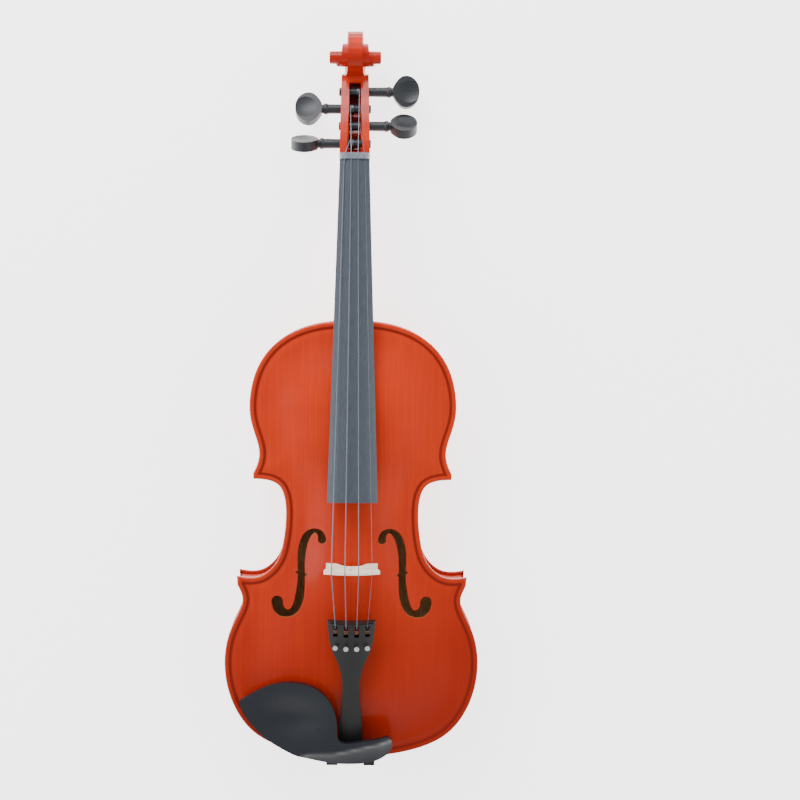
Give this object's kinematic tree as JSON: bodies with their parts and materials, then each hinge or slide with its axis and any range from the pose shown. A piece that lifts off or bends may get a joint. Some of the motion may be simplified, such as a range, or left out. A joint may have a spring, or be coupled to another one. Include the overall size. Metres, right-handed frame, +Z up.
{
  "type": "violin",
  "caption": "Full-size violin with arched plates, scroll head, turning pegs, bridge, tailpiece with fine tuners and clamped chin rest, lying on its back.",
  "frame": {"origin": "bottom centre of the whole violin's bounding box, on the surface that it lies on", "axes": "+X towards the treble (E string) side, +Y from the end button towards the scroll, +Z up from the back through the belly"},
  "size_m": [0.207, 0.6032, 0.0946],
  "materials": {
    "spruce_varnished": "glossy orange-red varnish over spruce",
    "maple_varnished": "glossy orange-red varnish over maple",
    "bare_spruce": "unvarnished spruce",
    "purfling": "dark inlaid purfling",
    "bare_maple": "unvarnished maple",
    "ebony": "satin black ebony",
    "ebonised_wood": "satin black",
    "black_composite": "satin black moulding",
    "nylon": "black nylon",
    "string_metal": "wound steel",
    "blackened_metal": "black metal",
    "nickel": "nickel plate",
    "ball_bronze": "dark bronze",
    "cork": "cork sheet"
  },
  "bodies": {
    "violin": {"back_plate": "maple_varnished", "top_plate": "spruce_varnished", "purfling": "purfling", "upper_rib_bass": "maple_varnished", "upper_rib_treble": "maple_varnished", "waist_rib_bass": "maple_varnished", "waist_rib_treble": "maple_varnished", "lower_rib_bass": "maple_varnished", "lower_rib_treble": "maple_varnished", "upper_block": "bare_spruce", "lower_block": "bare_spruce", "corner_blocks": "bare_spruce", "linings": "bare_spruce", "bass_bar": "bare_spruce", "sound_post": "bare_spruce", "saddle": "ebony", "end_button": "ebonised_wood", "neck_and_scroll": "maple_varnished", "fingerboard": "ebony", "nut": "ebony", "bridge": "bare_maple", "string_g": "string_metal", "string_d": "string_metal", "string_a": "string_metal", "string_e": "string_metal", "tailpiece": "black_composite", "lever_pivot_rod": "blackened_metal", "tailgut": "nylon", "chin_rest": "ebonised_wood", "chin_rest_corks": "cork", "chin_rest_studs": "nickel"},
    "peg_g": {"peg_g": "ebonised_wood", "wound_string_g": "string_metal"},
    "peg_d": {"peg_d": "ebonised_wood", "wound_string_d": "string_metal"},
    "peg_a": {"peg_a": "ebonised_wood", "wound_string_a": "string_metal"},
    "peg_e": {"peg_e": "ebonised_wood", "wound_string_e": "string_metal"},
    "screw_g": {"tuner_screw_g": "nickel"},
    "knob_g": {"tuner_knob_g": "nickel"},
    "lever_g": {"tuner_lever_g": "blackened_metal", "ball_end_g": "ball_bronze"},
    "screw_d": {"tuner_screw_d": "nickel"},
    "knob_d": {"tuner_knob_d": "nickel"},
    "lever_d": {"tuner_lever_d": "blackened_metal", "ball_end_d": "ball_bronze"},
    "screw_a": {"tuner_screw_a": "nickel"},
    "knob_a": {"tuner_knob_a": "nickel"},
    "lever_a": {"tuner_lever_a": "blackened_metal", "ball_end_a": "ball_bronze"},
    "screw_e": {"tuner_screw_e": "nickel"},
    "knob_e": {"tuner_knob_e": "nickel"},
    "lever_e": {"tuner_lever_e": "blackened_metal", "ball_end_e": "ball_bronze"},
    "clamp_bracket": {"clamp_bracket": "nickel", "clamp_cork": "cork"},
    "clamp_barrel_bass": {"clamp_barrel_bass": "nickel"},
    "clamp_barrel_treble": {"clamp_barrel_treble": "nickel"}
  },
  "joints": [
    {"name": "peg_g_turn", "type": "hinge", "parent": "violin", "child": "peg_g", "pos_m": [0, 0.20868, 0.03128], "axis": [-1, 0, 0], "continuous": true},
    {"name": "peg_d_turn", "type": "hinge", "parent": "violin", "child": "peg_d", "pos_m": [0, 0.2378, 0.02158], "axis": [-1, 0, 0], "continuous": true},
    {"name": "peg_a_turn", "type": "hinge", "parent": "violin", "child": "peg_a", "pos_m": [0, 0.25233, 0.01648], "axis": [1, 0, 0], "continuous": true},
    {"name": "peg_e_turn", "type": "hinge", "parent": "violin", "child": "peg_e", "pos_m": [0, 0.22332, 0.02718], "axis": [1, 0, 0], "continuous": true},
    {"name": "tuner_g_advance", "type": "slide", "parent": "violin", "child": "screw_g", "axis": [0, 0.2284, -0.9736], "range_m": [-0.001, 0.0018]},
    {"name": "tuner_g_knob_turn", "type": "hinge", "parent": "screw_g", "child": "knob_g", "pos_m": [-0.0129, -0.19551, 0.07852], "axis": [0, 0.2284, -0.9736], "range_deg": [-721, 1297]},
    {"name": "tuner_g_lever_tilt", "type": "hinge", "parent": "violin", "child": "lever_g", "pos_m": [-0.0129, -0.17963, 0.07608], "axis": [1, 0, 0], "range_deg": [-3.9, 7]},
    {"name": "tuner_d_advance", "type": "slide", "parent": "violin", "child": "screw_d", "axis": [0, 0.2284, -0.9736], "range_m": [-0.001, 0.0018]},
    {"name": "tuner_d_knob_turn", "type": "hinge", "parent": "screw_d", "child": "knob_d", "pos_m": [-0.0043, -0.19551, 0.07852], "axis": [0, 0.2284, -0.9736], "range_deg": [-721, 1297]},
    {"name": "tuner_d_lever_tilt", "type": "hinge", "parent": "violin", "child": "lever_d", "pos_m": [-0.0043, -0.17963, 0.07608], "axis": [1, 0, 0], "range_deg": [-3.9, 7]},
    {"name": "tuner_a_advance", "type": "slide", "parent": "violin", "child": "screw_a", "axis": [0, 0.2284, -0.9736], "range_m": [-0.001, 0.0018]},
    {"name": "tuner_a_knob_turn", "type": "hinge", "parent": "screw_a", "child": "knob_a", "pos_m": [0.0043, -0.19551, 0.07852], "axis": [0, 0.2284, -0.9736], "range_deg": [-721, 1297]},
    {"name": "tuner_a_lever_tilt", "type": "hinge", "parent": "violin", "child": "lever_a", "pos_m": [0.0043, -0.17963, 0.07608], "axis": [1, 0, 0], "range_deg": [-3.9, 7]},
    {"name": "tuner_e_advance", "type": "slide", "parent": "violin", "child": "screw_e", "axis": [0, 0.2284, -0.9736], "range_m": [-0.001, 0.0018]},
    {"name": "tuner_e_knob_turn", "type": "hinge", "parent": "screw_e", "child": "knob_e", "pos_m": [0.0129, -0.19551, 0.07852], "axis": [0, 0.2284, -0.9736], "range_deg": [-721, 1297]},
    {"name": "tuner_e_lever_tilt", "type": "hinge", "parent": "violin", "child": "lever_e", "pos_m": [0.0129, -0.17963, 0.07608], "axis": [1, 0, 0], "range_deg": [-3.9, 7]},
    {"name": "clamp_loosen", "type": "slide", "parent": "violin", "child": "clamp_bracket", "axis": [0, 0, -1], "range_m": [0, 0.005]},
    {"name": "clamp_barrel_bass_turn", "type": "hinge", "parent": "violin", "child": "clamp_barrel_bass", "pos_m": [-0.0125, -0.29475, 0.026], "axis": [0, 0, 1], "range_deg": [0, 1801]},
    {"name": "clamp_barrel_treble_turn", "type": "hinge", "parent": "violin", "child": "clamp_barrel_treble", "pos_m": [0.0125, -0.29475, 0.026], "axis": [0, 0, 1], "range_deg": [0, 1801]}
  ],
  "couplings": [
    {"joint": "tuner_g_knob_turn", "follows": "tuner_g_advance", "rad_per_m": 12566},
    {"joint": "tuner_g_lever_tilt", "follows": "tuner_g_advance", "rad_per_m": 67.114},
    {"joint": "tuner_d_knob_turn", "follows": "tuner_d_advance", "rad_per_m": 12566},
    {"joint": "tuner_d_lever_tilt", "follows": "tuner_d_advance", "rad_per_m": 67.114},
    {"joint": "tuner_a_knob_turn", "follows": "tuner_a_advance", "rad_per_m": 12566},
    {"joint": "tuner_a_lever_tilt", "follows": "tuner_a_advance", "rad_per_m": 67.114},
    {"joint": "tuner_e_knob_turn", "follows": "tuner_e_advance", "rad_per_m": 12566},
    {"joint": "tuner_e_lever_tilt", "follows": "tuner_e_advance", "rad_per_m": 67.114},
    {"joint": "clamp_barrel_bass_turn", "follows": "clamp_loosen", "rad_per_m": 6283.2},
    {"joint": "clamp_barrel_treble_turn", "follows": "clamp_loosen", "rad_per_m": 6283.2}
  ]
}
